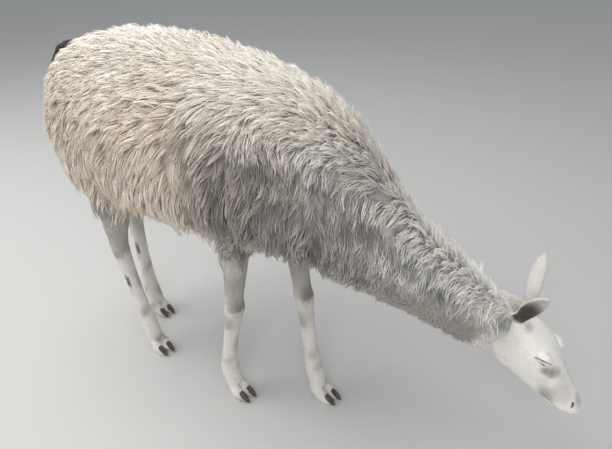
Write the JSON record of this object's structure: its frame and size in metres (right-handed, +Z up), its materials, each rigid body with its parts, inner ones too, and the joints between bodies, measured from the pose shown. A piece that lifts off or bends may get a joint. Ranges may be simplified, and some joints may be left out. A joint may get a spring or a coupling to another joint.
{
  "type": "llama",
  "caption": "Life-size still model of a woolly llama grazing, with its neck lowered, head near the grass and ears raised.",
  "frame": {"origin": "on the floor, under the middle of the whole animal's bounding box", "axes": "+X from the tail towards the head, +Y to the animal's left, +Z up"},
  "size_m": [2.002, 0.6456, 1.2161],
  "materials": {
    "fleece": "long soft wool, cream along the back and warm fawn on the flanks",
    "face": "short dense white hair",
    "leg": "short white hair with grey-brown shading",
    "tail": "dark brown hair",
    "eye": "wet and glossy, near black",
    "nail": "dull dark horn"
  },
  "bodies": {
    "root": {"ear_left": "face", "ear_right": "face", "eye_left": "eye", "eye_right": "eye", "foot_front_left": "leg", "foot_front_right": "leg", "foot_hind_left": "leg", "foot_hind_right": "leg", "head": "face", "leg_front_left_lower": "leg", "leg_front_left_upper": "leg", "leg_front_right_lower": "leg", "leg_front_right_upper": "leg", "leg_hind_left_lower": "leg", "leg_hind_left_upper": "leg", "leg_hind_right_lower": "leg", "leg_hind_right_upper": "leg", "lower_jaw": "face", "nail_front_left_a": "nail", "nail_front_left_b": "nail", "nail_front_right_a": "nail", "nail_front_right_b": "nail", "nail_hind_left_a": "nail", "nail_hind_left_b": "nail", "nail_hind_right_a": "nail", "nail_hind_right_b": "nail", "neck": "fleece", "tail": "tail", "trunk": "fleece"}
  },
  "joints": []
}
